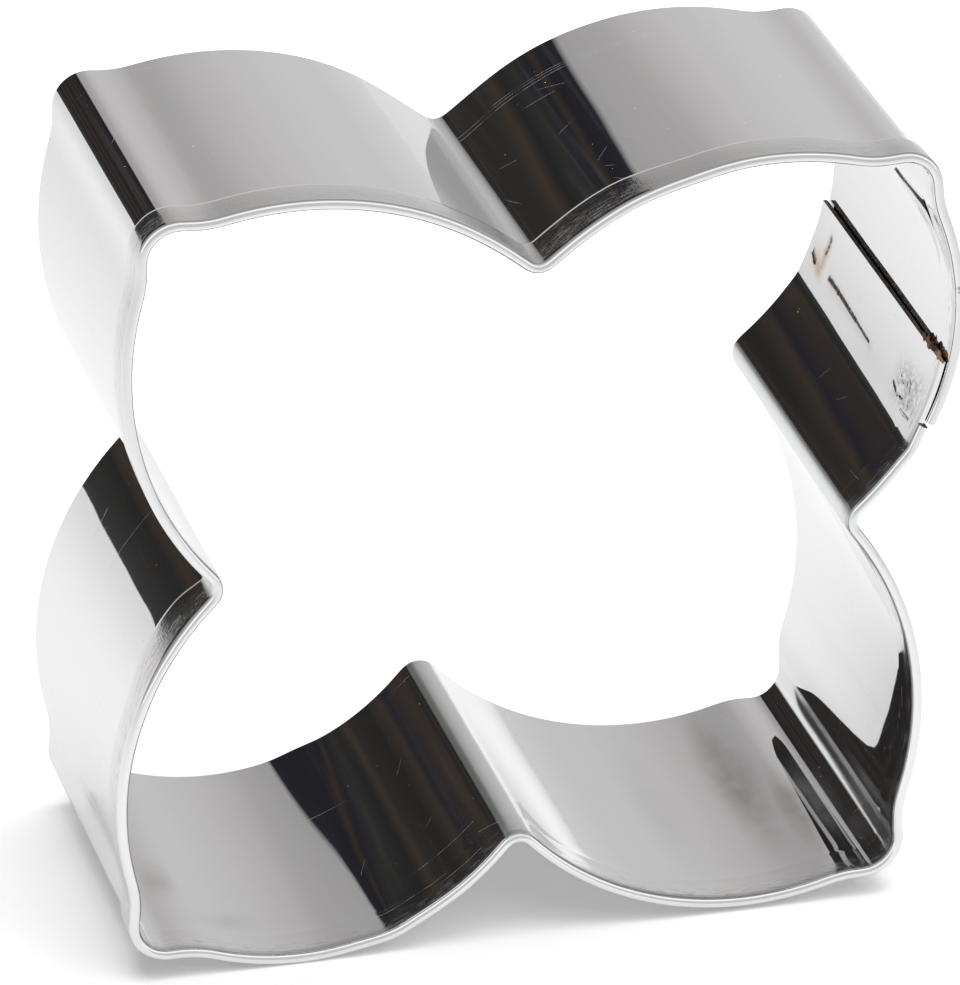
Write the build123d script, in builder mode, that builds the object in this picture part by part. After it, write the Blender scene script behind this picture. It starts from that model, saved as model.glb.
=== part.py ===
from build123d import *
import os
from collections import namedtuple
from math import atan2, cos, degrees, radians, sin, sqrt

# A cookie cutter bent from one strip of thin bright sheet into a flower of four petals.
# It stands on its two lower petals. The rolled rim faces -Y, the cutting edge faces +Y.
# The origin is under the middle of the cutter, on the surface that it stands on.

# Strip
strip_height = 25.0
sheet = 0.34
hem_width = 2.8
hem_gap = 0.06

# Flower, measured on the inner face of the strip
notch_reach = 20.6
notch_radius = 1.5
petal_radius = 20.6
dip_radius = 7.6
tip_reach = 36.0
tip_radius = 2.0
tip_half_angle = 51.5

# Lap seam on the right side of the upper right petal
seam_run = 10.9
lap_length = 3.6
lap_gap = 0.1
hem_setback = 0.3

# Spot welds through the lap
weld_radius = 0.8
weld_inset = 2.2
weld_dent = 0.04
weld_margin = 0.5
weld_height_shares = {"rim": 0.17, "middle": 0.55, "edge": 0.92}

# Small unevenness of a strip bent round a former by hand.
# The entries run counter-clockwise from the lower right petal and the bottom notch.
notch_reach_shares = (0.98, 1.04, 0.997, 1.005)
notch_side_shares = (-0.014, 0.016, 0.015, -0.016)
petal_radius_shares = ((0.99, 1.10), (0.87, 1.035), (1.075, 1.05), (1.015, 0.835))
tip_turn_angles = (4, 2.5, -2, -2)

quarter_turn = 90
petal_count = 4
seam_petal = 1
bead = 2 * sheet + hem_gap

Ring = namedtuple("Ring", "centre radius")
Petal = namedtuple("Petal", "notch first first_dip tip second_dip second")


def heading(angle):
    """Unit direction at an angle in degrees, counter-clockwise from right."""
    return Vector(cos(radians(angle)), sin(radians(angle)))


def bearing(ring, point):
    """Angle of a point seen from the middle of a ring."""
    arm = point - ring.centre
    return degrees(atan2(arm.Y, arm.X))


def spot(ring, angle):
    """Point of a ring at an angle."""
    return ring.centre + heading(angle) * ring.radius


def touch(a, b):
    """Point where two rings touch from outside."""
    return a.centre + (b.centre - a.centre).normalized() * a.radius


def touching(a, b, radius, side):
    """Ring that touches two others, left (1) or right (-1) of the line from a to b."""
    line = b.centre - a.centre
    along = ((a.radius + radius) ** 2 - (b.radius + radius) ** 2 + line.length**2) / (2 * line.length)
    across = sqrt((a.radius + radius) ** 2 - along**2)
    ahead = line.normalized()
    return Ring(a.centre + ahead * along + Vector(-ahead.Y, ahead.X) * (side * across), radius)


def notch_ring(index):
    """Round bottom of a notch, between two petals."""
    axis = quarter_turn * (index - 1)
    reach = notch_reach * notch_reach_shares[index] + notch_radius
    aside = notch_reach * notch_side_shares[index]
    return Ring(heading(axis) * reach + heading(axis + quarter_turn) * aside, notch_radius)


def petal_rings(index):
    """The rings that a petal's outline follows, counter-clockwise."""
    diagonal = quarter_turn * (index - 1 / 2)
    tip = Ring(heading(diagonal) * (tip_reach - tip_radius), tip_radius)
    dips = []
    for side in (-1, 1):
        angle = diagonal + tip_turn_angles[index] + side * tip_half_angle
        dips.append(Ring(tip.centre + heading(angle) * (tip_radius + dip_radius), dip_radius))
    first_radius, second_radius = (petal_radius * share for share in petal_radius_shares[index])
    notch = notch_ring(index)
    next_notch = notch_ring((index + 1) % petal_count)
    first = touching(notch, dips[0], first_radius, 1)
    second = touching(next_notch, dips[1], second_radius, -1)
    return Petal(notch, first, dips[0], tip, dips[1], second)


petals = [petal_rings(index) for index in range(petal_count)]
seam = petals[seam_petal]

# The two ends of the strip lap on the seam petal: the inner end lies on its outline,
# and the outer end lies one sheet and a gap further out, on a ring about the same middle.
inner_layer = seam.first
outer_layer = Ring(inner_layer.centre, inner_layer.radius + sheet + lap_gap)
stepped_dip = touching(outer_layer, seam.tip, dip_radius, -1)


def along_seam(length):
    """Angle that a length of strip takes up on the seam arc."""
    return degrees(length / inner_layer.radius)


inner_end = bearing(inner_layer, touch(seam.notch, inner_layer)) + along_seam(seam_run)
outer_end = inner_end - along_seam(lap_length)
hem_end = outer_end - along_seam(hem_setback)

# The whole run of the strip from its outer end to its inner end, counter-clockwise
outer_run = [outer_layer, stepped_dip, seam.tip, seam.second_dip, seam.second]
middle_run = [ring for step in (1, 2, 3) for ring in petals[(seam_petal + step) % petal_count]]
strip_run = outer_run + middle_run + [seam.notch, inner_layer]


def side_reach(index):
    """How far the rim reaches from the middle of the flower, on the side of a notch."""
    axis = heading(quarter_turn * (index - 1))
    first = outer_layer if index == seam_petal else petals[index].first
    second = petals[index - 1].second
    return max(ring.centre.dot(axis) + ring.radius for ring in (first, second)) + bead


down, right, up, left = (side_reach(index) for index in range(petal_count))
rim_plane = Plane(origin=((left - right) / 2, -strip_height / 2, down), x_dir=(1, 0, 0), z_dir=(0, -1, 0))


def bend(ring, start, end):
    """Arc of a ring in the plane of the rim, the short way between two of its points."""
    middle = ((start - ring.centre) + (end - ring.centre)).normalized() * ring.radius
    points = (start, ring.centre + middle, end)
    return ThreePointArc(*(rim_plane.from_local_coords(point) for point in points))


def outward_at(angle):
    """Outward direction of the seam arc in space."""
    direction = heading(angle)
    return Vector(direction.X, 0, direction.Y)


def section_plane(ring, angle):
    """Plane across the strip: x runs outwards from its inner face, y from rim to edge."""
    outward = outward_at(angle)
    return Plane(rim_plane.from_local_coords(spot(ring, angle)), outward, outward.cross(Vector(0, 1, 0)))


def weld_plane(height, lift):
    """Plane of a spot weld, at a height above the rim and a lift from the inner face."""
    angle = inner_end - along_seam(weld_inset)
    foot = rim_plane.from_local_coords(spot(inner_layer, angle)) + Vector(0, height, 0)
    outward = outward_at(angle)
    return Plane(foot + outward * lift, Vector(0, 1, 0), outward)


lap_thickness = 2 * sheet + lap_gap
weld_heights = {place: strip_height * share for place, share in weld_height_shares.items()}

# Strip: a plain wall with its rim folded outwards into a hem, and a tongue without hem
# that goes under the outer end at the lap
with BuildPart() as cutter_strip:
    with BuildLine(rim_plane) as hemmed_route:
        start = spot(outer_layer, outer_end)
        for ring, next_ring in zip(strip_run, strip_run[1:]):
            joint = touch(ring, next_ring)
            bend(ring, start, joint)
            start = joint
        bend(inner_layer, start, spot(inner_layer, hem_end))
    with BuildSketch(section_plane(outer_layer, outer_end)):
        with BuildLine():
            fold = bead / 2
            Polyline((0, fold), (0, strip_height), (sheet, strip_height), (sheet, fold))
            ThreePointArc((sheet, fold), (fold, fold - hem_gap / 2), (bead - sheet, fold))
            Polyline((bead - sheet, fold), (bead - sheet, hem_width), (bead, hem_width), (bead, fold))
            ThreePointArc((bead, fold), (fold, 0), (0, fold))
        make_face()
    sweep()

    with BuildLine(rim_plane) as tongue_route:
        bend(inner_layer, spot(inner_layer, hem_end), spot(inner_layer, inner_end))
    with BuildSketch(section_plane(inner_layer, hem_end)):
        with Locations((0, bead / 2)):
            Rectangle(sheet, strip_height - bead / 2, align=Align.MIN)
    sweep()

    for height in weld_heights.values():
        with BuildSketch(weld_plane(height, -weld_margin)):
            Circle(weld_radius)
        extrude(amount=lap_thickness + 2 * weld_margin, mode=Mode.SUBTRACT)
cutter_strip.part.label = "cutter_strip"

# Spot welds: round nuggets through both layers, slightly sunk where the electrodes pressed
spot_welds = []
for place, height in weld_heights.items():
    with BuildPart() as nugget:
        with BuildSketch(weld_plane(height, weld_dent)):
            Circle(weld_radius)
        extrude(amount=lap_thickness - 2 * weld_dent)
    nugget.part.label = f"spot_weld_{place}"
    spot_welds.append(nugget.part)

os.makedirs("parts", exist_ok=True)
for piece in [cutter_strip.part] + spot_welds:
    export_step(piece, f"parts/{piece.label}.step")

box = cutter_strip.part.bounding_box()
print("cutter strip", box.size, "volume", cutter_strip.part.volume, "solids", len(cutter_strip.part.solids()))
print("route length", hemmed_route.wire().length + tongue_route.wire().length)
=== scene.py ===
import cmath
from collections import namedtuple
from math import ceil, cos, exp, hypot, pi, radians, sin, sqrt, tan

import bpy
import numpy as np
from mathutils import Matrix, Vector, noise


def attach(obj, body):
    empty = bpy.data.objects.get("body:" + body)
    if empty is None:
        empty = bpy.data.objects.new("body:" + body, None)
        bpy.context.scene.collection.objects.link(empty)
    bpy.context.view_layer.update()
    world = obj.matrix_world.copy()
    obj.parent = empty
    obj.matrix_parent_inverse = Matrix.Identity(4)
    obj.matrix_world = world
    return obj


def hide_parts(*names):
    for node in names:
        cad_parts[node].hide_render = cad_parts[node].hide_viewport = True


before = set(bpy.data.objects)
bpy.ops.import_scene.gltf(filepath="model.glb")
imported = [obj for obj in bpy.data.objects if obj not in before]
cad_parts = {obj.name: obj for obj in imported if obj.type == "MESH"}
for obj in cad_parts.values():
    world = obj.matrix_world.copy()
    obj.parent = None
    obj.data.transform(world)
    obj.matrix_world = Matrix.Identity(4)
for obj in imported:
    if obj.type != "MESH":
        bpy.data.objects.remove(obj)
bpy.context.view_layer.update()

mm = 0.001

# Strip
strip_height = 25.0 * mm
sheet = 0.34 * mm
hem_width = 2.8 * mm
hem_gap = 0.06 * mm
bead = 2 * sheet + hem_gap

# Flower, measured on the inner face of the strip
notch_reach = 20.6 * mm
notch_radius = 1.5 * mm
petal_radius = 20.6 * mm
dip_radius = 7.6 * mm
tip_reach = 36.0 * mm
tip_radius = 2.0 * mm
tip_half_angle = radians(51.5)

# Lap seam on the right side of the upper right petal
seam_run = 10.9 * mm
lap_length = 3.6 * mm
lap_gap = 0.1 * mm
hem_setback = 0.3 * mm

# Small unevenness of a strip bent round a former by hand.
# The entries run counter-clockwise from the lower right petal and the bottom notch.
notch_reach_shares = (0.98, 1.04, 0.997, 1.005)
notch_side_shares = (-0.014, 0.016, 0.015, -0.016)
petal_radius_shares = ((0.99, 1.10), (0.87, 1.035), (1.075, 1.05), (1.015, 0.835))
tip_turn_angles = tuple(radians(angle) for angle in (4, 2.5, -2, -2))

quarter_turn = pi / 2
petal_count = 4
seam_petal = 1

# Spot welds through the lap
weld_inset = 2.2 * mm
weld_height_shares = {"rim": 0.17, "middle": 0.55, "edge": 0.92}

# Fineness of the strip's mesh
outline_step = 0.05 * mm
bend_softness = 0.35 * mm
longest_step = 0.45 * mm
widest_turn = radians(3)
shortest_row = 0.12 * mm
longest_row = 0.9 * mm
row_growth = 0.3

# Edges of the sheet, and how far the hem closes towards its raw edge
edge_round = 0.06 * mm
raw_round = 0.07 * mm
hem_pinch = 0.03 * mm
fold_steps = 6
rim_steps = 14
face_shares = (0.08, 0.3, 0.55, 0.8)
sharp_turn = radians(50)

# Gentle unevenness of the thin sheet, and the imprint of the hem's raw edge on its wall
wave_length = 9 * mm
wave_depth = 0.02 * mm
ripple_length = 2.6 * mm
ripple_depth = 0.004 * mm
imprint_reach = 0.4 * mm
imprint_depth = 0.02 * mm

# Shallow dents, by their place along the run at the rim, and how far that drifts up to the
# cutting edge. They are outward where they are positive.
Dent = namedtuple("Dent", "run drift reach at_rim at_edge")
dents = (
    Dent(35.0 * mm, 0, 2.8 * mm, -0.15 * mm, -0.03 * mm),
    Dent(46.6 * mm, 0, 2.3 * mm, 0.08 * mm, 0.22 * mm),
    Dent(144.8 * mm, 0, 1.6 * mm, 0.19 * mm, -0.15 * mm),
    Dent(182.2 * mm, 0, 1.3 * mm, 0.02 * mm, 0.12 * mm),
)

# Creases, where the bend is sharper than on the plain outline
creases = (
    Dent(216.95 * mm, 1.1 * mm, 1.3 * mm, 0.26 * mm, 0.18 * mm),
)
crease_round = 0.15 * mm

# Stretches where the hem is wider
Flare = namedtuple("Flare", "run reach width")
flares = (Flare(43.8 * mm, 7 * mm, 0.75 * mm), Flare(105.5 * mm, 3.6 * mm, 1.0 * mm))
flare_fade = 3 * mm

# Notches whose line isn't square to the rim: how far they lean right and up at the cutting edge
Lean = namedtuple("Lean", "run reach shift")
leans = (
    Lean(46.5 * mm, 6.5 * mm, (0.05 - 0.53j) * mm),
    Lean(210.7 * mm, 6.5 * mm, (-0.05 + 0.68j) * mm),
)

# How far the inner end of the strip reaches past the plain tongue, at the rim and the cutting edge
end_past_rim = 0.65 * mm
end_past_edge = 1.1 * mm
spare_run = 2 * mm

Ring = namedtuple("Ring", "centre radius")
Petal = namedtuple("Petal", "notch first first_dip tip second_dip second")


# The outline lies in the plane of the rim. Its points are complex numbers, right + up * 1j,
# measured from the middle of the flower.

def heading(angle):
    """Unit direction, counter-clockwise from right."""
    return cmath.rect(1, angle)


def dot(a, b):
    """Length of a along the unit direction b."""
    return (a * b.conjugate()).real


def touch(a, b):
    """Point where two rings touch from outside."""
    line = b.centre - a.centre
    return a.centre + line / abs(line) * a.radius


def touching(a, b, radius, side):
    """Ring that touches two others, left (1) or right (-1) of the line from a to b."""
    line = b.centre - a.centre
    length = abs(line)
    along = ((a.radius + radius) ** 2 - (b.radius + radius) ** 2 + length**2) / (2 * length)
    across = sqrt((a.radius + radius) ** 2 - along**2)
    return Ring(a.centre + line / length * (along + side * across * 1j), radius)


def notch_ring(index):
    """Round bottom of a notch, between two petals."""
    axis = quarter_turn * (index - 1)
    reach = notch_reach * notch_reach_shares[index] + notch_radius
    aside = notch_reach * notch_side_shares[index]
    return Ring(heading(axis) * (reach + aside * 1j), notch_radius)


def petal_rings(index):
    """The rings that a petal's outline follows, counter-clockwise."""
    diagonal = quarter_turn * (index - 1 / 2)
    tip = Ring(heading(diagonal) * (tip_reach - tip_radius), tip_radius)
    dips = []
    for side in (-1, 1):
        angle = diagonal + tip_turn_angles[index] + side * tip_half_angle
        dips.append(Ring(tip.centre + heading(angle) * (tip_radius + dip_radius), dip_radius))
    first_radius, second_radius = (petal_radius * share for share in petal_radius_shares[index])
    notch = notch_ring(index)
    next_notch = notch_ring((index + 1) % petal_count)
    first = touching(notch, dips[0], first_radius, 1)
    second = touching(next_notch, dips[1], second_radius, -1)
    return Petal(notch, first, dips[0], tip, dips[1], second)


petals = [petal_rings(index) for index in range(petal_count)]
seam = petals[seam_petal]
inner_layer = seam.first
outer_layer = Ring(inner_layer.centre, inner_layer.radius + sheet + lap_gap)
stepped_dip = touching(outer_layer, seam.tip, dip_radius, -1)

seam_start = cmath.phase(touch(seam.notch, inner_layer) - inner_layer.centre)
inner_end = seam_start + seam_run / inner_layer.radius
outer_end = inner_end - lap_length / inner_layer.radius
hem_end = outer_end - hem_setback / inner_layer.radius

outer_run = [outer_layer, stepped_dip, seam.tip, seam.second_dip, seam.second]
middle_run = [ring for step in (1, 2, 3) for ring in petals[(seam_petal + step) % petal_count]]
strip_run = outer_run + middle_run + [seam.notch, inner_layer]


def side_reach(index):
    """How far the rim reaches from the middle of the flower, on the side of a notch."""
    axis = heading(quarter_turn * (index - 1))
    first = outer_layer if index == seam_petal else petals[index].first
    second = petals[index - 1].second
    return max(dot(ring.centre, axis) + ring.radius for ring in (first, second)) + bead


down, right, up, left = (side_reach(index) for index in range(petal_count))
flower_centre = (left - right) / 2 + down * 1j


def arc_points(ring, start, end):
    """Points along a ring, the short way between two of its points, without the last one."""
    sweep = cmath.phase((end - ring.centre) / (start - ring.centre))
    count = max(2, ceil(abs(sweep) * ring.radius / outline_step))
    return [ring.centre + (start - ring.centre) * heading(sweep * i / count) for i in range(count)]


def outline_points():
    """Fine points along the inner face, from the outer end to a little past the inner end."""
    points = []
    start = outer_layer.centre + heading(outer_end) * outer_layer.radius
    for ring, next_ring in zip(strip_run, strip_run[1:]):
        joint = touch(ring, next_ring)
        points += arc_points(ring, start, joint)
        start = joint
    end = inner_layer.centre + heading(inner_end + spare_run / inner_layer.radius) * inner_layer.radius
    return np.array(points + arc_points(inner_layer, start, end) + [end])


def softened(points):
    """The points with their changes of bend eased, as sheet metal takes them."""
    reach = ceil(3 * bend_softness / outline_step)
    weights = np.exp(-0.5 * (np.arange(-reach, reach + 1) * outline_step / bend_softness) ** 2)
    before = 2 * points[0] - points[reach:0:-1]
    after = 2 * points[-1] - points[-2:-reach - 2:-1]
    padded = np.concatenate([before, points, after])
    return np.convolve(padded, weights / weights.sum(), "valid")


def columns(run, turn, start, end):
    """Places along the run where the mesh has a row of points: close together in tight bends."""
    inside = (run >= start) & (run <= end)
    part = np.unique(np.concatenate([[start], run[inside], [end]]))
    tightness = np.abs(np.gradient(np.interp(part, run, turn), part))
    density = np.maximum(1 / longest_step, tightness / widest_turn)
    filled = np.concatenate([[0], np.cumsum(np.diff(part) * (density[1:] + density[:-1]) / 2)])
    return np.interp(np.linspace(0, filled[-1], ceil(filled[-1]) + 1), filled, part)


outline = softened(outline_points()) + flower_centre
outline_run = np.concatenate([[0], np.cumsum(np.abs(np.diff(outline)))])
outline_turn = np.unwrap(np.angle(np.gradient(outline, outline_run)))
total_run = outline_run[-1] - spare_run
hem_run = total_run - (inner_end - hem_end) * inner_layer.radius


def line_at(run):
    """Place on the inner face of the strip and the outward direction, at a length along its run."""
    place = np.interp(run, outline_run, outline.real) + 1j * np.interp(run, outline_run, outline.imag)
    outward = -1j * np.exp(1j * np.interp(run, outline_run, outline_turn))
    return place, outward


def away(dent, run, share):
    """Distance along the run from the middle of a dent, at a share of the way up from the rim."""
    return run - dent.run - dent.drift * share


def between(dent, share):
    """Depth of a dent at a share of the way from the rim to the cutting edge."""
    return dent.at_rim + (dent.at_edge - dent.at_rim) * share


def bulge(run, deep):
    """How far the sheet stands out from its plain outline, at a place on its wall."""
    spot = Vector((run, deep, 0))
    free = min(1, max(0, deep - hem_width) / wave_length)
    waves = wave_depth * free * noise.noise(spot / wave_length)
    ripples = ripple_depth * noise.noise(spot / ripple_length)
    imprint = imprint_depth * exp(-abs(deep - flared(run, hem_width)) / imprint_reach)
    share = deep / strip_height
    height = waves + ripples - imprint
    for dent in dents:
        height += between(dent, share) * exp(-((away(dent, run, share) / dent.reach) ** 2))
    for crease in creases:
        distance = hypot(away(crease, run, share), crease_round)
        height += between(crease, share) * exp(-distance / crease.reach)
    return height


def leaning(run, deep):
    """How far a place on the strip is shifted by the leaning notches."""
    share = deep / strip_height
    return sum(lean.shift * share * exp(-(((run - lean.run) / lean.reach) ** 2)) for lean in leans)


def past_end(run, deep):
    """How far a place on the tongue moves along the run, so that the strip ends slightly askew."""
    share = max(0, (run - hem_run) / (total_run - hem_run))
    return share * (end_past_rim + (end_past_edge - end_past_rim) * deep / strip_height)


def flared(run, deep):
    """Depth of a place, moved with the hem where that is wider."""
    wider = sum(flare.width * exp(-(((run - flare.run) / flare.reach) ** 4)) for flare in flares)
    beyond = max(0, deep - hem_width) / flare_fade
    return deep + wider * min(deep / hem_width, exp(-(beyond**2)))


def on_strip(run, out, deep):
    """Point in space at a length along the run, a distance outward and a depth from the rim."""
    run += past_end(run, deep)
    deep = flared(run, deep)
    place, outward = line_at(run)
    spot = place + outward * (out + bulge(run, deep)) + leaning(run, deep)
    return spot.real, deep - strip_height / 2, spot.imag


def in_space(runs, section):
    """Points of a section, which is distances outward and depths, at each length along the run."""
    return [on_strip(run, out, deep) for run in runs for out, deep in section]


def wall_rows():
    """Depths of the rows on the wall, closer together by the hem's raw edge and the cutting edge."""
    stop = strip_height - edge_round
    rows = [bead / 2]
    while rows[-1] < stop:
        distance = min(abs(rows[-1] - hem_width), stop - rows[-1])
        rows.append(rows[-1] + min(longest_row, max(shortest_row, distance * row_growth)))
    return rows[:-1] + [stop]


def quarter(centre_out, centre_deep, radius, start, turn, steps=3):
    """Quarter round of a section, from a start angle and with a turn of 1 or -1."""
    angles = [start + turn * quarter_turn * i / steps for i in range(steps + 1)]
    return [(centre_out + radius * cos(a), centre_deep + radius * sin(a)) for a in angles]


def wall_section():
    """Up the inner face of the wall, round the cutting edge and down the outer face."""
    rows = wall_rows()
    stop = strip_height - edge_round
    inner = [(0, deep) for deep in rows[:-1]]
    outer = [(sheet, deep) for deep in reversed(rows[:-1])]
    edge = quarter(edge_round, stop, edge_round, pi, -1)
    edge += quarter(sheet - edge_round, stop, edge_round, quarter_turn, -1)
    return inner + edge + outer


def hem_section():
    """Round the inside of the fold, up the hem, over its raw edge, down its face and round the rim."""
    fold = bead / 2
    gap = hem_gap / 2
    angles = [pi + pi * i / fold_steps for i in range(1, fold_steps + 1)]
    inside = [(fold + gap * cos(a), fold + gap * sin(a)) for a in angles]
    top = bead - hem_pinch
    under = [(top - sheet, deep) for deep in (hem_width / 2, hem_width - edge_round)]
    raw = quarter(top - raw_round, hem_width - raw_round, raw_round, quarter_turn, -1)
    face = [(top + hem_pinch * share, hem_width * (1 - share)) for share in face_shares]
    angles = [pi * i / rim_steps for i in range(rim_steps)]
    rim = [(fold + fold * cos(a), fold - fold * sin(a)) for a in angles]
    return inside + under + raw + face + rim


def lengths(section):
    """Length along a section at each of its points."""
    return [0] + list(np.cumsum([hypot(b[0] - a[0], b[1] - a[1]) for a, b in zip(section, section[1:])]))


wall = wall_section()
hem = hem_section()
fold_depth = bead / 2
wall_along = [fold_depth + length for length in lengths(wall)]
hem_along = [fold_depth + length for length in lengths(hem + wall[:1])]
hem_along = [length - hem_along[-1] + fold_depth for length in hem_along]

# The welds lie at the same place on both layers of the lap
weld_run = total_run - weld_inset
outer_weld_run = lap_length - weld_inset
weld_heights = {place: strip_height * share for place, share in weld_height_shares.items()}

Window = namedtuple("Window", "start end low high")
Stroke = namedtuple("Stroke", "points width depth soot heat")

# Windows in the strip for the welds and their marks, from the middle of each weld
inner_windows = {
    "rim": Window(-2.9 * mm, 1.5 * mm, -3.7 * mm, 3.0 * mm),
    "middle": Window(-1.9 * mm, 0.6 * mm, -3.6 * mm, 7.3 * mm),
    "edge": Window(-1.9 * mm, 2.0 * mm, -2.0 * mm, 1.8 * mm),
}
outer_window = Window(-1.15 * mm, 1.15 * mm, -1.15 * mm, 1.15 * mm)
plate_step = 0.06 * mm
plate_lift = 0.003 * mm
plate_border = 0.6 * mm


def shifted(window, run, deep):
    """A window moved to a weld's place on a layer."""
    return Window(window.start + run, window.end + run, window.low + deep, window.high + deep)


inner_holes = [shifted(inner_windows[place], weld_run, deep) for place, deep in weld_heights.items()]
outer_holes = [shifted(outer_window, outer_weld_run, deep) for deep in weld_heights.values()]


def in_window(window, run, deep, margin):
    """Whether a place on the strip lies inside a window, by a margin or more."""
    inside_run = window.start + margin < run < window.end - margin
    return inside_run and window.low + margin < deep < window.high - margin


def is_cut_out(out, run, deep):
    """Whether the strip leaves a place on its faces to a weld."""
    holes = inner_holes if out == 0 else outer_holes
    return any(in_window(hole, run, deep, plate_border) for hole in holes)


def new_piece(name, points, faces, coordinates):
    """Smooth mesh object with a strip map: metres along the run and round the section."""
    mesh = bpy.data.meshes.new(name)
    mesh.from_pydata(points, [], faces)
    strip_map = mesh.uv_layers.new(name="Strip")
    strip_map.data.foreach_set("uv", [value for pair in coordinates for value in pair])
    mesh.shade_smooth()
    mesh.set_sharp_from_angle(angle=sharp_turn)
    piece = bpy.data.objects.new(name, mesh)
    bpy.context.collection.objects.link(piece)
    return piece


Grid = namedtuple("Grid", "faces coordinates")


def add_cell(grid, corners, runs, alongs):
    """Adds one cell of a grid, from its four corners' indices."""
    grid.faces.append(corners)
    first = [(run, alongs[0]) for run in runs]
    second = [(run, alongs[1]) for run in reversed(runs)]
    grid.coordinates.extend(first + second)


def add_cap(grid, corners, points):
    """Adds a flat end of the strip."""
    grid.faces.append(corners)
    grid.coordinates.extend([(points[corner][1], points[corner][2]) for corner in corners])


def make_strip():
    """The whole strip as one mesh: the hemmed run, then a tongue without hem."""
    grid = Grid([], [])
    hemmed = columns(outline_run, outline_turn, 0, hem_run)
    tongue = columns(outline_run, outline_turn, hem_run, total_run)
    loop = wall + hem
    size = len(loop)
    narrow = len(wall)
    points = in_space(hemmed, loop)
    last = (len(hemmed) - 1) * size
    base = len(points)
    points += in_space(tongue, wall)[narrow:]
    loop_along = list(zip(wall_along, wall_along[1:] + wall_along[-1:]))
    loop_along += list(zip(hem_along, hem_along[1:]))

    def add_cells(runs, section, at):
        for i in range(len(runs) - 1):
            middle = (runs[i] + runs[i + 1]) / 2
            for j, (out, deep) in enumerate(section):
                k = (j + 1) % len(section)
                on_face = j < narrow - 1 and out == section[k][0]
                if on_face and is_cut_out(out, middle, (deep + section[k][1]) / 2):
                    continue
                corners = (at(i, j), at(i + 1, j), at(i + 1, k), at(i, k))
                add_cell(grid, corners, list(runs[i:i + 2]), loop_along[j])

    def at_hemmed(i, j):
        return i * size + j

    def at_tongue(i, j):
        return last + j if i == 0 else base + (i - 1) * narrow + j

    add_cells(hemmed, loop, at_hemmed)
    add_cells(tongue, wall, at_tongue)
    add_cap(grid, tuple(range(size)), points)
    hem_start = last + narrow
    add_cap(grid, (last,) + tuple(reversed(range(hem_start, last + size))) + (hem_start - 1,), points)
    end = len(tongue) - 1
    add_cap(grid, tuple(at_tongue(end, j) for j in reversed(range(narrow))), points)
    strip = new_piece("bent_strip", points, grid.faces, grid.coordinates)
    caps = [len(grid.faces) - 3, len(grid.faces) - 2, len(grid.faces) - 1]
    for face in caps:
        strip.data.polygons[face].material_index = 1
    return strip


def node(tree, kind, inputs=(), **settings):
    """Adds a shader node. An input's value is a constant or the socket that feeds it."""
    made = tree.nodes.new(kind)
    for name, value in settings.items():
        setattr(made, name, value)
    for key, value in dict(inputs).items():
        if isinstance(value, bpy.types.NodeSocket):
            tree.links.new(value, made.inputs[key])
        else:
            made.inputs[key].default_value = value
    return made


def maths(tree, operation, *values):
    """Output of a math node."""
    return node(tree, "ShaderNodeMath", enumerate(values), operation=operation).outputs[0]


def vectors(tree, operation, *values):
    """Vector output of a vector math node."""
    return node(tree, "ShaderNodeVectorMath", enumerate(values), operation=operation).outputs["Vector"]


def ramp(tree, value, start, end, low=0.0, high=1.0):
    """Smooth step of a value from low to high."""
    inputs = {"Value": value, "From Min": start, "From Max": end, "To Min": low, "To Max": high}
    return node(tree, "ShaderNodeMapRange", inputs, interpolation_type="SMOOTHSTEP").outputs[0]


Grain = namedtuple("Grain", "along across scale detail")
Patches = namedtuple("Patches", "grain start end")


def grain(tree, place, kind):
    """Soft noise from 0 to 1 over a place that is stretched first."""
    stretched = vectors(tree, "MULTIPLY", place, (kind.along, kind.across, 1))
    inputs = {"Vector": stretched, "Scale": kind.scale, "Detail": kind.detail}
    return node(tree, "ShaderNodeTexNoise", inputs).outputs[0]


def patches(tree, place, kind, low=0.0, high=1.0):
    """Patches with soft borders, where a grain is strong."""
    return ramp(tree, grain(tree, place, kind.grain), kind.start, kind.end, low, high)


def product(tree, *values):
    """Values multiplied with each other."""
    total = values[0]
    for value in values[1:]:
        total = maths(tree, "MULTIPLY", total, value)
    return total


def strongest(tree, *values):
    """The largest of some values."""
    largest = values[0]
    for value in values[1:]:
        largest = maths(tree, "MAXIMUM", largest, value)
    return largest


def added(tree, base, *parts):
    """A base value with parts added, each with its weight."""
    total = base
    for part, weight in parts:
        total = maths(tree, "MULTIPLY_ADD", part, weight, total)
    return total


def tinted(tree, colour, share, tint):
    """A colour mixed towards a tint."""
    mix = node(tree, "ShaderNodeMix", {0: share, 6: colour, 7: (*tint, 1)}, data_type="RGBA")
    return mix.outputs[2]


Cells = namedtuple("Cells", "offset chance turn size")


def cells(tree, place, width, seed):
    """Cells of a given width, each with random values and the offset from its middle."""
    shifted_place = vectors(tree, "ADD", place, (seed, seed / 2, 0))
    inputs = {"Vector": shifted_place, "Scale": 1 / width}
    made = node(tree, "ShaderNodeTexVoronoi", inputs, voronoi_dimensions="2D").outputs
    offset = vectors(tree, "SUBTRACT", shifted_place, made["Position"])
    parts = node(tree, "ShaderNodeSeparateColor", {0: made["Color"]}).outputs
    return Cells(offset, parts[0], parts[1], parts[2])


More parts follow.
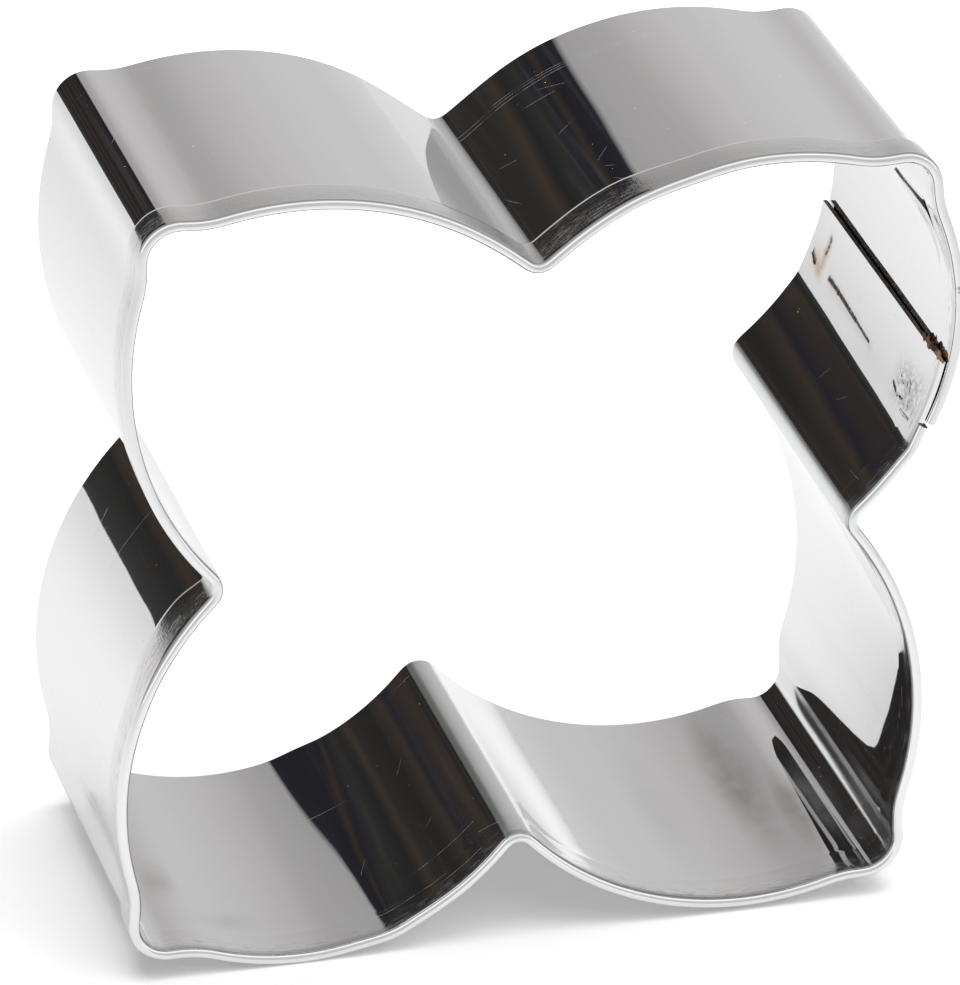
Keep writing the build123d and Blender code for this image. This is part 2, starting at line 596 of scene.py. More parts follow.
def scratches(tree, place, kind):
    """Fine straight scratches, at most one in each cell."""
    cell = cells(tree, place, kind.cell, kind.seed)
    turn = maths(tree, "MULTIPLY_ADD", cell.turn, kind.spread, -kind.spread / 2)
    inputs = {"Vector": cell.offset, "Angle": turn}
    turned = node(tree, "ShaderNodeVectorRotate", inputs, rotation_type="Z_AXIS").outputs[0]
    parts = node(tree, "ShaderNodeSeparateXYZ", {0: turned}).outputs
    reach = maths(tree, "MULTIPLY", cell.size, kind.cell / 2)
    past = maths(tree, "SUBTRACT", maths(tree, "ABSOLUTE", parts["X"]), reach)
    within = ramp(tree, past, 0.0, -kind.cell * scratch_end_share)
    thin = ramp(tree, maths(tree, "ABSOLUTE", parts["Y"]), kind.width, kind.width * line_core_share)
    chosen = maths(tree, "LESS_THAN", cell.chance, kind.share)
    return product(tree, within, thin, chosen)


def specks(tree, place, kind):
    """Small round specks, at most one in each cell."""
    cell = cells(tree, place, kind.cell, kind.seed)
    distance = node(tree, "ShaderNodeVectorMath", {0: cell.offset}, operation="LENGTH").outputs["Value"]
    past = maths(tree, "SUBTRACT", distance, maths(tree, "MULTIPLY", cell.size, kind.radius))
    inside = ramp(tree, past, 0.0, -kind.radius * speck_border_share)
    return product(tree, inside, maths(tree, "LESS_THAN", cell.chance, kind.share))


def drag_line(tree, place, run, along, drag):
    """One long fine scratch, which runs nearly along the strip and breaks up here and there."""
    wander = added(tree, drag.across - drag_swing / 2, (grain(tree, place, drag_wander), drag_swing))
    middle = added(tree, wander, (maths(tree, "SUBTRACT", run, drag.start), drag.climb))
    distance = maths(tree, "ABSOLUTE", maths(tree, "SUBTRACT", along, middle))
    starting = ramp(tree, run, drag.start, drag.start + drag_start_fade)
    ending = ramp(tree, run, drag.end, drag.end - drag_end_fade)
    broken = patches(tree, place, drag_breaks, drag_faintest)
    thin = ramp(tree, distance, drag.width, drag.width * line_core_share)
    return product(tree, thin, starting, ending, broken)


def new_material(name):
    """Metal material and its shader."""
    material = bpy.data.materials.new(name)
    material.use_nodes = True
    shader = material.node_tree.nodes["Principled BSDF"]
    shader.inputs["Metallic"].default_value = 1
    return material, material.node_tree, shader


def feed(tree, shader, **sockets):
    """Links values to a shader's inputs."""
    for name, socket in sockets.items():
        tree.links.new(socket, shader.inputs[name.replace("_", " ")])


bright_colour = (0.87, 0.87, 0.88)
inside_colour = (0.83, 0.83, 0.84)
satin_colour = (0.8, 0.82, 0.81)
scuff_colour = (0.56, 0.51, 0.47)
smudge_colour = (0.42, 0.39, 0.37)
rust_colour = (0.22, 0.1, 0.05)
# Dark soot of the weld marks, which also paints the shade in their grooves
soot_and_shade_colour = (0.07, 0.06, 0.055)
heat_colour = (0.75, 0.42, 0.2)
per_mm = 1 / mm

# From here on, the strip map is counted in millimetres: along the run, and across it round the
# section. Across, the inner face runs from the rim's bead up to 25 and the outer face goes on from
# there, while the hem's outer face lies below -0.75.
inner_face_fade = (25.3, 25.1)
hem_raw_fade = (-3.2, -1.2)
hem_rim_fade = (-0.75, -1.0)
hem_raw_share = 0.3
Band = namedtuple("Band", "start full_start full_end end")
scuffed_band = Band(0.2, 0.45, 0.9, 2.2)
rim_line_band = Band(0.2, 0.4, 0.6, 0.85)

# Uneven textures of the sheet
hem_grain = Grain(2.2, 0.5, 4.0, 3.0)
rolling_grain = Grain(0.12, 3.0, 3.0, 4.0)
cloud_grain = Grain(0.12, 0.2, 1.0, 3.0)
streak_patches = Patches(Grain(1.6, 0.03, 1.0, 3.0), 0.52, 0.72)
smudge_patches = Patches(Grain(0.5, 0.4, 1.0, 4.0), 0.2, 0.7)
haze_patches = Patches(Grain(0.2, 0.16, 1.0, 2.0), 0.55, 0.75)
haze_flecks = Patches(Grain(1.5, 1.5, 3.0, 3.0), 0.55, 0.8)
scuff_patches = Patches(Grain(0.6, 5.0, 1.4, 4.0), 0.5, 0.7)
smudge_faintest = 0.5
smudge_strongest = 1.3

# The former left the tight bends satin: stretches of the run, fading out at their ends
Satin = namedtuple("Satin", "start end before after amount")
satin_bends = (
    Satin(45.8, 46.7, 0.25, 0.4, 1.0),
    Satin(46.7, 48.0, 0.3, 2.0, 0.25),
    Satin(99.4, 100.9, 0.6, 0.6, 1.0),
    Satin(154.6, 156.1, 0.2, 0.5, 1.0),
    Satin(184.0, 185.4, 0.5, 0.4, 0.5),
    Satin(209.8, 211.4, 1.2, 0.3, 1.0),
)

# Random short scratches and specks of dust: the size of their cells, and the share that has one
scratch_end_share = 1 / 5
line_core_share = 1 / 3
speck_border_share = 1 / 3
Scratches = namedtuple("Scratches", "cell share width spread seed")
scratch_kinds = (
    Scratches(6.0, 0.14, 0.02, 2.4, 3.0),
    Scratches(2.6, 0.16, 0.01, 6.0, 11.0),
    Scratches(14.0, 0.5, 0.018, 0.25, 29.0),
)
Specks = namedtuple("Specks", "cell share radius seed")
speck_kinds = (Specks(2.4, 0.3, 0.05, 7.0), Specks(6.0, 0.3, 0.09, 19.0))

# Long fine scratches round the petals
Drag = namedtuple("Drag", "start end across climb width")
drags = (
    Drag(31.0, 47.6, 29.45, 0.01, 0.026),
    Drag(29.5, 46.0, 29.25, -0.01, 0.018),
    Drag(27.0, 43.0, 29.1, -0.02, 0.016),
    Drag(38.0, 40.5, 36.0, 0.5, 0.02),
    Drag(117.0, 125.0, 29.6, 0.01, 0.02),
    Drag(138.0, 150.0, 2.3, 0.0, 0.02),
    Drag(146.0, 153.5, 4.6, 0.02, 0.02),
    Drag(148.0, 153.0, 1.75, 0.0, 0.02),
    Drag(158.0, 171.0, 2.3, 0.0, 0.02),
)
drag_wander = Grain(0.25, 0.0, 1.0, 2.0)
drag_swing = 0.4
drag_breaks = Patches(Grain(0.8, 0.1, 1.0, 2.0), 0.4, 0.5)
drag_faintest = 0.4
drag_start_fade = 2.0
drag_end_fade = 0.5

# Soft spots on the sheet: middle, reach along the run and across it, and strength
Spot = namedtuple("Spot", "run across long wide amount")
smudges = (
    Spot(177.3, 15.0, 1.5, 8.0, 0.55),
    Spot(180.0, 9.0, 1.0, 5.0, 0.6),
    Spot(130.8, 9.5, 1.0, 2.2, 0.35),
    Spot(134.5, 4.5, 2.0, 1.2, 0.2),
    Spot(171.0, 13.0, 1.5, 7.0, 0.12),
    Spot(13.8, 3.6, 0.5, 0.8, 0.4),
    Spot(218.6, 10.0, 0.8, 3.0, 0.1),
)
smears = (Spot(181.6, 10.5, 1.2, 4.2, 0.22), Spot(183.0, 5.0, 0.8, 1.6, 0.08))
rust_spots = (Spot(9.8, -0.25, 0.16, 0.3, 0.9), Spot(9.5, -0.1, 0.1, 0.12, 0.7))
spot_fade = 1.6

# How much each mark takes away from the metal's shine, as dull dust does
scratch_dust = 0.22
scuff_dust = 0.16
streak_dust = 0.02
haze_dust = 0.1

# How strongly the marks tint the metal
hem_tint = 0.3
scuff_tint = 0.7
rim_line_tint = 0.4

# Roughness of the plain sheet, and what the marks add to it
plain_rough = 0.015
cloud_rough = 0.03
satin_rough = 0.28
scratch_rough = 0.3
rim_rough = 0.05
hem_rough = 0.3
scuff_rough = 0.15
soot_and_shade_rough = 0.4

# Heights in millimetres
rolling_height = 0.0003
hem_height = 0.006
scuff_height = -0.002
scratch_height = -0.001


def in_band(tree, value, band):
    """1 inside a band and 0 outside, with soft ends."""
    starting = ramp(tree, value, band.start, band.full_start)
    ending = ramp(tree, value, band.end, band.full_end)
    return product(tree, starting, ending)


def satin_zones(tree, run):
    """Where the former left the sheet satin."""
    zones = []
    for satin in satin_bends:
        starting = ramp(tree, run, satin.start - satin.before, satin.start)
        ending = ramp(tree, run, satin.end + satin.after, satin.end, 0.0, satin.amount)
        zones.append(product(tree, starting, ending))
    return strongest(tree, *zones)


def soft_spots(tree, place, spots):
    """How strongly a place is covered by soft oval spots."""
    covers = []
    for spot in spots:
        offset = vectors(tree, "SUBTRACT", place, (spot.run, spot.across, 0))
        offset = vectors(tree, "MULTIPLY", offset, (1 / spot.long, 1 / spot.wide, 0))
        distance = node(tree, "ShaderNodeVectorMath", {0: offset}, operation="LENGTH").outputs["Value"]
        covers.append(ramp(tree, distance, spot_fade, 0.0, 0.0, spot.amount))
    return strongest(tree, *covers)


def scratched(tree, place, run, along):
    """Where the sheet has a scratch."""
    marks = [scratches(tree, place, kind) for kind in scratch_kinds]
    marks += [drag_line(tree, place, run, along, drag) for drag in drags]
    return strongest(tree, *marks)


def dusted(tree, place, scratch, scuff, smear):
    """How much dull dust lies on the sheet and in its marks."""
    marks = [specks(tree, place, kind) for kind in speck_kinds]
    marks.append(product(tree, scratch, scratch_dust))
    marks.append(product(tree, scuff, scuff_dust))
    marks.append(product(tree, patches(tree, place, streak_patches), streak_dust))
    haze = product(tree, patches(tree, place, haze_patches), patches(tree, place, haze_flecks))
    marks.append(product(tree, haze, haze_dust))
    marks.append(smear)
    return strongest(tree, *marks)


def painted(tree, *coats):
    """Bright metal's colour with tints laid over it, each with its share."""
    colour = (*bright_colour, 1)
    for share, tint in coats:
        colour = tinted(tree, colour, share, tint)
    return colour


def steel(name):
    """Bright rolled sheet with fine scratches, a scuffed hem, dust, soot with painted shade in the weld
    marks' grooves, and heat tint.
    """
    material, tree, shader = new_material(name)
    strip_map = node(tree, "ShaderNodeUVMap", uv_map="Strip").outputs[0]
    place = vectors(tree, "MULTIPLY", strip_map, (per_mm, per_mm, 1))
    run, along = node(tree, "ShaderNodeSeparateXYZ", {0: place}).outputs[:2]
    marks = node(tree, "ShaderNodeAttribute", attribute_name="marks").outputs["Color"]
    soot, heat = node(tree, "ShaderNodeSeparateColor", {0: marks}).outputs[:2]

    hem_face = ramp(tree, along, *hem_raw_fade, hem_raw_share, 1.0)
    hem_face = product(tree, hem_face, ramp(tree, along, *hem_rim_fade))
    near_rim = in_band(tree, along, scuffed_band)
    satin = satin_zones(tree, run)
    rough_hem = product(tree, hem_face, grain(tree, place, hem_grain))
    uneven = patches(tree, place, smudge_patches, smudge_faintest, smudge_strongest)
    smudge = product(tree, soft_spots(tree, place, smudges), uneven)
    smear = product(tree, soft_spots(tree, place, smears), uneven)
    rim_line = product(tree, in_band(tree, along, rim_line_band), rim_line_tint)
    scuff = product(tree, patches(tree, place, scuff_patches), strongest(tree, near_rim, hem_face))
    scratch = scratched(tree, place, run, along)
    dust = dusted(tree, place, scratch, scuff, smear)

    colour = painted(
        tree,
        (ramp(tree, along, *inner_face_fade), inside_colour),
        (satin, satin_colour),
        (product(tree, hem_face, hem_tint), scuff_colour),
        (product(tree, scuff, scuff_tint), scuff_colour),
        (strongest(tree, smudge, rim_line), smudge_colour),
        (soft_spots(tree, place, rust_spots), rust_colour),
        (heat, heat_colour),
        (soot, soot_and_shade_colour),
    )
    rough = added(
        tree, plain_rough,
        (grain(tree, place, cloud_grain), cloud_rough),
        (satin, satin_rough),
        (scratch, scratch_rough),
        (near_rim, rim_rough),
        (rough_hem, hem_rough),
        (scuff, scuff_rough),
        (soot, soot_and_shade_rough),
    )
    height = added(
        tree, 0.0,
        (grain(tree, place, rolling_grain), rolling_height),
        (rough_hem, hem_height),
        (scuff, scuff_height),
        (scratch, scratch_height),
    )
    bump = node(tree, "ShaderNodeBump", {"Height": height, "Distance": mm}).outputs[0]
    metallic = maths(tree, "SUBTRACT", 1.0, dust)
    feed(tree, shader, Base_Color=colour, Roughness=rough, Metallic=metallic, Normal=bump)
    return material


# Dull metal of the sheared and the burnt edges
cut_colour = (0.14, 0.125, 0.11)
cut_tint = (0.3, 0.25, 0.21)
burnt_colour = (0.09, 0.065, 0.05)
burnt_tint = (0.6, 0.34, 0.18)
dull_rough = 0.4
blotch_patches = Patches(Grain(1, 1, 1.2, 3.0), 0.45, 0.6)
blotch_tint = 0.35
pit_grain = Grain(1, 1, 6.0, 3.0)
pit_rough = 0.2
pit_depth = 0.02 * mm


def dark_metal(name, colour, tint, roughness):
    """Dull dark metal of a sheared or burnt edge, with blotches of a tint."""
    material, tree, shader = new_material(name)
    place = node(tree, "ShaderNodeTexCoord").outputs["Object"]
    place = vectors(tree, "MULTIPLY", place, (per_mm, per_mm, per_mm))
    pits = grain(tree, place, pit_grain)
    marks = node(tree, "ShaderNodeAttribute", attribute_name="marks").outputs["Color"]
    heat = node(tree, "ShaderNodeSeparateColor", {0: marks}).outputs[1]
    share = strongest(tree, product(tree, patches(tree, place, blotch_patches), blotch_tint), heat)
    rough = added(tree, roughness, (pits, pit_rough))
    bump = node(tree, "ShaderNodeBump", {"Height": pits, "Distance": pit_depth}).outputs[0]
    feed(tree, shader, Base_Color=tinted(tree, (*colour, 1), share, tint), Roughness=rough, Normal=bump)
    return material


bright_steel = steel("bright_steel")
weld_steel = steel("weld_steel")
cut_steel = dark_metal("cut_steel", cut_colour, cut_tint, dull_rough)
burnt_steel = dark_metal("burnt_steel", burnt_colour, burnt_tint, dull_rough)

strip = make_strip()
strip.data.materials.append(bright_steel)
strip.data.materials.append(cut_steel)
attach(strip, "root")
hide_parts("cutter_strip")

# Marks of the electrodes on the inner face, in millimetres from the middle of each weld:
# along the run and towards the cutting edge
weld_strokes = {
    "rim": (
        Stroke(((-1.15, 1.66), (-1.55, 0.57), (-1.45, -0.51)), 0.12, 0.02, 0.3, 0.05),
        Stroke(((-0.6, -0.48), (-0.1, -0.11), (-0.2, -0.82), (-0.7, -1.0)), 0.09, 0.02, 0.3, 0.05),
        Stroke(((-1.65, -1.24), (-2.1, -0.92), (-2.05, -2.4)), 0.1, 0.02, 0.3, 0.15),
        Stroke(((0.2, 0.6), (-0.4, 0.9), (-0.7, 0.3), (-0.3, -0.1)), 0.08, 0.015, 0.25, 0.05),
    ),
    "middle": (
        Stroke(((-0.45, 6.5), (-0.46, 5.7), (-0.5, 4.4)), 0.15, 0.025, 1.5, 0.2),
        Stroke(((-0.5, 4.4), (-0.6, 2.8), (-0.75, 0.5)), 0.12, 0.025, 1.5, 0.2),
        Stroke(((-0.75, 0.5), (-0.85, -1.1), (-0.95, -2.45)), 0.08, 0.02, 1.3, 0.15),
        # Soft band beside the slit, with no depth: painted shade beside the gouge
        Stroke(((-0.75, 6.0), (-0.85, 3.0), (-1.0, 0.0), (-1.15, -2.9)), 0.3, 0, 0.16, 0.06),
    ),
    "edge": (
        Stroke(((-0.05, 1.25), (-0.25, 0.73), (-0.5, 0.1)), 0.2, 0.03, 0.8, 0.4),
        Stroke(((-0.3, 0.3), (-0.55, -0.4), (-0.8, -0.95)), 0.3, 0.01, 0.3, 0.5),
        Stroke(((1.75, -1.02), (1.3, -1.07), (0.65, -0.95)), 0.2, 0.03, 1.0, 0.3),
        Stroke(((0.65, -0.95), (-0.1, -0.95), (-0.8, -0.95)), 0.3, 0.01, 0.3, 0.5),
    ),
}
electrode_stroke = (Stroke(((0, 0), (0.01, 0)), 0.5, 0.03, 0.1, 0),)

# Shape of a stroke, in shares of its width: the raised lips beside it, and the soot with painted groove
# shade and the heat tint round it
lip_height_share = 0.2
lip_place_share = 2.2
soot_and_shade_reach_share = 1.1
heat_reach_share = 2.2
wobble = 0.2
wobble_length = 1 / 3
soot_and_shade_seed = 5
soot_and_shade_grain = 0.2
soot_and_shade_unevenness = 0.6
soot_and_shade_middle = 0.8

# Crumpled skin by the rim weld, in millimetres from its middle
crumple_depth = 0.016
crumple_grain = 0.6
crumple_middle = (-0.7, -0.6)
crumple_reach = (1.5, 2.4)
crumple_seed = 2
crumple_softness = 0.8
crumple_fineness = 2.0
crumple_layers = 3
# Soot with painted shade, laid along the crumple's creases
crumple_soot_and_shade = 0.45
crumple_soot_and_shade_start = 0.5


def from_stroke(stroke, x, y):
    """Distance from the line of a stroke to a point beside it."""
    nearest = []
    for (ax, ay), (bx, by) in zip(stroke.points, stroke.points[1:]):
        share = ((x - ax) * (bx - ax) + (y - ay) * (by - ay)) / hypot(bx - ax, by - ay) ** 2
        share = min(1, max(0, share))
        nearest.append(hypot(ax + (bx - ax) * share - x, ay + (by - ay) * share - y))
    return min(nearest)


def crumpled(x, y):
    """How deep the crumpled skin by the rim weld is, and how far it reaches there."""
    spot = Vector((x, y, crumple_seed)) / crumple_grain
    ridge = 1 - abs(noise.fractal(spot, crumple_softness, crumple_fineness, crumple_layers))
    across = (x - crumple_middle[0]) / crumple_reach[0]
    upward = (y - crumple_middle[1]) / crumple_reach[1]
    return ridge, exp(-(across**4) - upward**4)


def relief(place, strokes, x, y):
    """Height of the marked skin in millimetres, how sooty it is with painted shade in its grooves, and
    how heat tinted it is.
    """
    height = 0
    soot = 0
    heat = 0
    for stroke in strokes:
        far = from_stroke(stroke, x, y) / stroke.width
        far *= 1 + wobble * noise.noise(Vector((x, y, stroke.width)) / wobble_length)
        lips = lip_height_share * exp(-((far - lip_place_share) ** 2))
        height += stroke.depth * (lips - exp(-(far**2)))
        # Soot with painted shade, darkest along the stroke's groove
        shade = soot_and_shade_middle + soot_and_shade_unevenness * noise.noise(Vector((x, y, soot_and_shade_seed)) / soot_and_shade_grain)
        soot = max(soot, stroke.soot * shade * exp(-((far / soot_and_shade_reach_share) ** 2)))
        heat = max(heat, stroke.heat * exp(-((far / heat_reach_share) ** 2)))
    if place == "rim":
        ridge, reach = crumpled(x, y)
        height -= crumple_depth * ridge**3 * reach
        # Soot with painted shade in the crumple's creases
        shade = max(0, ridge - crumple_soot_and_shade_start) / (1 - crumple_soot_and_shade_start)
        soot = max(soot, crumple_soot_and_shade * reach * shade)
    return height, soot, heat


def spaced(start, end, step):
    """Evenly spaced values from start to end."""
    return np.linspace(start, end, ceil((end - start) / step) + 1)


def add_skin(points, grid, tints, window, middle, place, strokes, side):
    """Closed plate whose front is the marked skin: side -1 on the inner face, 1 on the outer face."""
    runs = spaced(window.start, window.end, plate_step)
    depths = spaced(window.low, window.high, plate_step)
    face_out = 0 if side < 0 else sheet
    base = len(points)
    rows = len(depths)
    for run in runs:
        for deep in depths:
            border = min(run - window.start, window.end - run, deep - window.low, window.high - deep)
            x = (run + past_end(run, deep) - middle[0]) * per_mm
            y = (deep - middle[1]) * per_mm
            height, soot, heat = relief(place, strokes, x, y)
            fade = min(1, border / plate_border)
            fade *= fade * (3 - 2 * fade)
            lift = plate_lift * (2 * fade - 1) + height * mm * fade
            points.append(on_strip(run, face_out + side * lift, deep))
            points.append(on_strip(run, face_out - side * sheet / 2, deep))
            tints.extend([(soot * fade, heat * fade, 0, 1)] * 2)

    def at(i, j, behind):
        return base + (i * rows + j) * 2 + behind

    along = [deep if side < 0 else 2 * strip_height + sheet - deep for deep in depths]
    for i in range(len(runs) - 1):
        for j in range(rows - 1):
            for behind in (0, 1):
                cell = ((i, j), (i + 1, j), (i + 1, j + 1), (i, j + 1))
                corners = [at(a, b, behind) for a, b in cell]
                pairs = [(runs[a], along[b]) for a, b in cell]
                if (side > 0) != (behind == 1):
                    corners.reverse()
                    pairs.reverse()
                grid.faces.append(tuple(corners))
                grid.coordinates.extend(pairs)


def add_marks(piece, tints):
    """Stores how sooty, with painted shade in the grooves, and how heat tinted each point of a piece is.
    """
    marks = piece.data.color_attributes.new("marks", "FLOAT_COLOR", "POINT")
    marks.data.foreach_set("color", [value for tint in tints for value in tint])


def make_weld(place):
    """A spot weld as seen on both faces of the lap."""
    deep = weld_heights[place]
    points = []
    tints = []
    grid = Grid([], [])
    inner = shifted(inner_windows[place], weld_run, deep)
    outer = shifted(outer_window, outer_weld_run, deep)
    add_skin(points, grid, tints, inner, (weld_run, deep), place, weld_strokes[place], -1)
    add_skin(points, grid, tints, outer, (outer_weld_run, deep), "middle", electrode_stroke, 1)
    weld = new_piece(f"weld_mark_{place}", points, grid.faces, grid.coordinates)
    add_marks(weld, tints)
    weld.data.materials.append(weld_steel)
    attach(weld, "root")
    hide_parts(f"spot_weld_{place}")


for place in weld_heights:
    make_weld(place)

# Torn and burnt end of the inner layer, by the rim
torn_low = 0.2 * mm
torn_high = 4.5 * mm
torn_step = 0.1 * mm
torn_thick = 0.18 * mm
torn_noise = 0.45 * mm
torn_sides = 12
torn_taper = 0.4
torn_roughness = 0.8
torn_out_share = 0.45
torn_heat_reach = 1.8
torn_hottest = 0.9
Spike = namedtuple("Spike", "deep width length")
spikes = (Spike(1.4, 0.5, 0.12), Spike(2.6, 0.2, 0.2), Spike(3.4, 0.15, 0.35), Spike(4.1, 0.25, 0.2))


def make_torn_end():
    """Ragged bead of burnt metal along the end of the inner layer."""
    depths = spaced(torn_low, torn_high, torn_step)
    points = []
    faces = []
    tints = []
    for i, deep in enumerate(depths):
        taper = sin(pi * (i + 0.5) / len(depths)) ** torn_taper
        height = deep * per_mm
        spike = sum(spike.length * exp(-(((height - spike.deep) / spike.width) ** 2)) for spike in spikes)
        for j in range(torn_sides):
            angle = 2 * pi * j / torn_sides
            side, front = sin(angle), cos(angle)
            rough = noise.noise(Vector((front * torn_thick, side * torn_thick, deep)) / torn_noise)
            radius = torn_thick * taper * (1 + torn_roughness * rough)
            reach = radius * front + spike * mm * max(0, front) ** 3
            points.append(on_strip(total_run + reach, sheet * torn_out_share + radius * side, deep))
            hot = torn_heat_reach - height + torn_roughness * rough
            tints.append((0, max(0, min(torn_hottest, hot)), 0, 1))
    count = len(depths)
    for i in range(count - 1):
        for j in range(torn_sides):
            k = (j + 1) % torn_sides
            here, there = i * torn_sides, (i + 1) * torn_sides
            faces.append((here + j, here + k, there + k, there + j))
    faces.append(tuple(reversed(range(torn_sides))))
    faces.append(tuple(range((count - 1) * torn_sides, count * torn_sides)))
    corners = sum(len(face) for face in faces)
    torn = new_piece("torn_end", points, faces, [(0, 0)] * corners)
    add_marks(torn, tints)
    torn.data.materials.append(burnt_steel)
    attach(torn, "root")


make_torn_end()

# Floor: pale, less bright with distance where metal mirrors it, and brighter behind the object
floor_size = 2.4
floor_albedo = 0.95
near_floor = 1.12
far_floor = 0.73
floor_reach = 0.12
background_white = 1.18
back_start = 0.005
back_end = 0.025
back_glow = 0.4


def add_floor():
    """Plain pale floor that reads as white and keeps the object's shadow."""
    bpy.ops.mesh.primitive_plane_add(size=floor_size)
    floor = bpy.context.object
    floor.name = "floor"
    paint = bpy.data.materials.new("floor_paint")
    paint.use_nodes = True
    tree = paint.node_tree
    tree.nodes.clear()
    place = node(tree, "ShaderNodeNewGeometry").outputs["Position"]
    distance = node(tree, "ShaderNodeVectorMath", {0: place}, operation="LENGTH").outputs["Value"]
    near = maths(tree, "EXPONENT", maths(tree, "DIVIDE", distance, -floor_reach))
    tone = maths(tree, "MULTIPLY_ADD", near, near_floor - far_floor, far_floor)
    path = node(tree, "ShaderNodeLightPath").outputs
    towards_back = node(tree, "ShaderNodeSeparateXYZ", {0: place}).outputs["Y"]
    glow = background_white - floor_albedo
    glow = ramp(tree, towards_back, back_start, back_end, glow, glow + back_glow)
    seen = maths(tree, "MULTIPLY", path["Is Camera Ray"], glow)
    mirrored = maths(tree, "MAXIMUM", path["Is Glossy Ray"], path["Is Transmission Ray"])
    mirrored = maths(tree, "MULTIPLY", mirrored, maths(tree, "SUBTRACT", tone, floor_albedo))
    matt = node(tree, "ShaderNodeBsdfDiffuse", {"Color": (floor_albedo, floor_albedo, floor_albedo, 1)})
    glow = node(tree, "ShaderNodeEmission", {"Strength": maths(tree, "ADD", seen, mirrored)})
    both = node(tree, "ShaderNodeAddShader", {0: matt.outputs[0], 1: glow.outputs[0]})
    node(tree, "ShaderNodeOutputMaterial", {"Surface": both.outputs[0]})
    floor.data.materials.append(paint)


add_floor()

# Studio round the object, as bright metal mirrors it: degrees about the front-to-back axis,
# counter-clockwise from right as seen from the front, then brightness and tint
lavender = (0.985, 0.985, 1.02)
neutral = (1, 1, 1)
warm = (1.02, 1.0, 0.985)
blue_black = (0.95, 0.93, 1.2)
brown_black = (1.05, 1.0, 0.95)
brown = (1.3, 1.0, 0.8)
studio_tones = (
    (0, 0.686, neutral), (20, 0.62, neutral), (35, 0.62, neutral), (55, 0.565, warm), (72, 0.486, warm),
    (80, 0.42, warm), (98.1, 0.36, warm), (98.9, 0.022, blue_black), (108, 0.018, blue_black),
    (111, 0.03, brown), (114, 0.02, blue_black), (121, 0.03, brown_black), (127, 0.02, neutral),
    (131, 0.036, brown), (134, 0.026, brown_black), (143, 0.021, brown_black), (150, 0.034, brown),
    (153, 0.021, blue_black), (162, 0.033, brown), (166, 0.022, neutral), (172, 0.028, brown_black),
    (178, 0.036, neutral), (185.2, 0.055, neutral), (186.4, 0.66, lavender),
    (200, 0.83, lavender), (240, 0.98, lavender), (300, 0.98, lavender), (340, 0.88, lavender),
    (352, 0.78, lavender), (360, 0.686, neutral),
)
plain_light = 0.04

# Brightness of the studio in front of the object and behind it, which only rounded edges mirror:
# the share of the way towards the back at which it starts and ends
Side = namedtuple("Side", "start end tone")
studio_sides = (
    Side(0.8, 0.66, 0.3), Side(0.5, 0.15, 0.5), Side(0.0, -0.2, 1.12), Side(-0.5, -0.7, 0.62),
    Side(0.91, 0.97, 0.75),
)


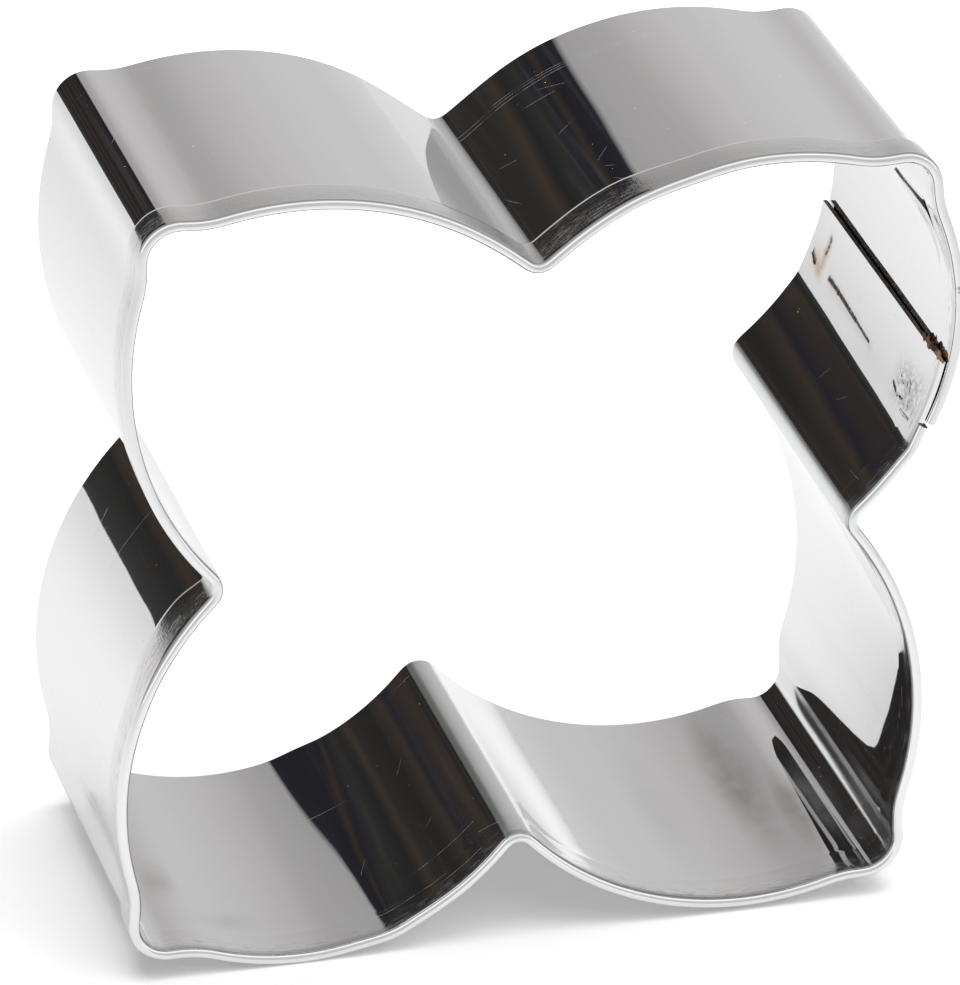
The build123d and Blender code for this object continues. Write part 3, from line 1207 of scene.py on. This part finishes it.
def add_studio():
    """White backdrop for the camera, tones for mirroring metal and plain light for the rest."""
    world = bpy.data.worlds.new("studio")
    bpy.context.scene.world = world
    world.use_nodes = True
    tree = world.node_tree
    tree.nodes.clear()
    direction = node(tree, "ShaderNodeTexCoord").outputs["Generated"]
    axes = node(tree, "ShaderNodeSeparateXYZ", {0: direction}).outputs
    angle = maths(tree, "ARCTAN2", axes["Z"], axes["X"])
    share = maths(tree, "WRAP", maths(tree, "DIVIDE", angle, 2 * pi), 1.0, 0.0)
    tones = node(tree, "ShaderNodeValToRGB", {"Fac": share})
    stops = tones.color_ramp
    while len(stops.elements) < len(studio_tones):
        stops.elements.new(0.5)
    for element, (degrees, tone, tint) in zip(stops.elements, studio_tones):
        element.position = degrees / 360
    for element, (degrees, tone, tint) in zip(stops.elements, studio_tones):
        element.color = (*(tone * part for part in tint), 1)
    tone = tones.outputs["Color"]
    for side in studio_sides:
        tone = tinted(tree, tone, ramp(tree, axes["Y"], side.start, side.end), (side.tone,) * 3)
    path = node(tree, "ShaderNodeLightPath").outputs
    mirrored = maths(tree, "MAXIMUM", path["Is Glossy Ray"], path["Is Transmission Ray"])
    plain = node(tree, "ShaderNodeBackground", {"Strength": plain_light})
    studio = node(tree, "ShaderNodeBackground", {"Color": tone})
    white = node(tree, "ShaderNodeBackground", {"Strength": 1.0})
    for made in (plain, white):
        made.inputs["Color"].default_value = (1, 1, 1, 1)
    mixed = node(tree, "ShaderNodeMixShader", {0: mirrored, 1: plain.outputs[0], 2: studio.outputs[0]})
    inputs = {0: path["Is Camera Ray"], 1: mixed.outputs[0], 2: white.outputs[0]}
    shown = node(tree, "ShaderNodeMixShader", inputs)
    node(tree, "ShaderNodeOutputWorld", {"Surface": shown.outputs[0]})
    world.cycles.sampling_method = "NONE"


add_studio()

# Soft lamps, by how far they stand to the right and to the back, and how soft and bright they are
Lamp = namedtuple("Lamp", "name right back softness share")
lamps = (
    Lamp("top_lamp", radians(0), radians(0), radians(50), 0.53),
    Lamp("front_lamp", radians(15), radians(-15), radians(70), 0.47),
)


def add_lamp(lamp):
    """One large soft lamp far overhead, which metal doesn't mirror."""
    towards = Vector((tan(lamp.right), tan(lamp.back), 1)).normalized()
    data = bpy.data.lights.new(lamp.name, "SUN")
    data.angle = lamp.softness
    data.energy = pi * lamp.share / towards.z
    made = bpy.data.objects.new(lamp.name, data)
    bpy.context.collection.objects.link(made)
    made.rotation_euler = towards.to_track_quat("Z", "Y").to_euler()
    made.visible_glossy = False


for lamp in lamps:
    add_lamp(lamp)

# Camera at the photograph's angle
camera_place = Vector((-136.1, -442.9, 263.15)) * mm
camera_yaw = radians(17.012)
camera_pitch = radians(-27.01)
camera_roll = radians(1.92)
camera_lens = 286.6


def add_camera():
    """Camera that sees the cutter as the photograph does."""
    ahead = Vector((sin(camera_yaw), cos(camera_yaw), 0))
    forward = ahead * cos(camera_pitch) + Vector((0, 0, sin(camera_pitch)))
    level = Vector((cos(camera_yaw), -sin(camera_yaw), 0))
    upright = level.cross(forward)
    across = level * cos(camera_roll) + upright * sin(camera_roll)
    upward = upright * cos(camera_roll) - level * sin(camera_roll)
    data = bpy.data.cameras.new("camera")
    data.lens = camera_lens
    camera = bpy.data.objects.new("camera", data)
    bpy.context.collection.objects.link(camera)
    turn = Matrix((across, upward, -forward)).transposed()
    camera.matrix_world = Matrix.Translation(camera_place) @ turn.to_4x4()
    bpy.context.scene.camera = camera


add_camera()
bpy.context.scene.view_settings.view_transform = "Standard"
